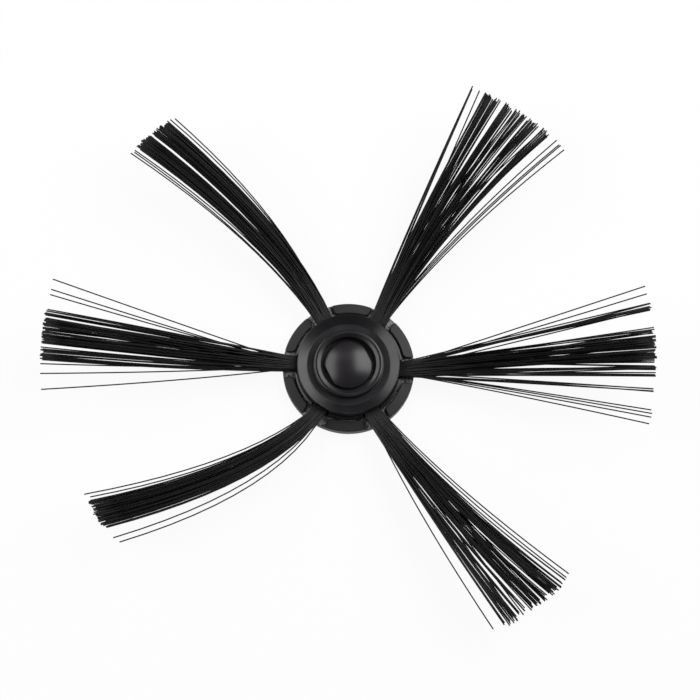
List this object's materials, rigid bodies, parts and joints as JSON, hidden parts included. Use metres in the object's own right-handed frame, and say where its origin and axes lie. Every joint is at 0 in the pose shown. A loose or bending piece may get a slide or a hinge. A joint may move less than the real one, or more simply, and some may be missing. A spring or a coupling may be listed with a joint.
{
  "type": "robot vacuum side brush",
  "caption": "Round moulded hub with a keyed drive socket, a dished cap and a domed centre, clamping splayed tufts of black nylon bristle that sweep dirt in from the robot's edge.",
  "frame": {"origin": "on the hub's axis, in the plane of the face that lies against the robot, at the mouth of the drive socket", "axes": "+Z along the hub's axis, from the robot's side to the dome that looks at the floor; +X along the tuft that points right in the picture, to within a few degrees; +Y up in the picture"},
  "size_m": [0.1392, 0.1257, 0.0165],
  "materials": {
    "hub_plastic": "moulded, satin gloss, black",
    "bristle_nylon": "drawn filament, satin, black"
  },
  "bodies": {
    "root": {"hub_base": "hub_plastic", "hub_cap": "hub_plastic", "bristle_tuft_right": "bristle_nylon", "bristle_tuft_upper_right": "bristle_nylon", "bristle_tuft_upper_left": "bristle_nylon", "bristle_tuft_left": "bristle_nylon", "bristle_tuft_lower_left": "bristle_nylon", "bristle_tuft_lower_right": "bristle_nylon"}
  },
  "joints": []
}
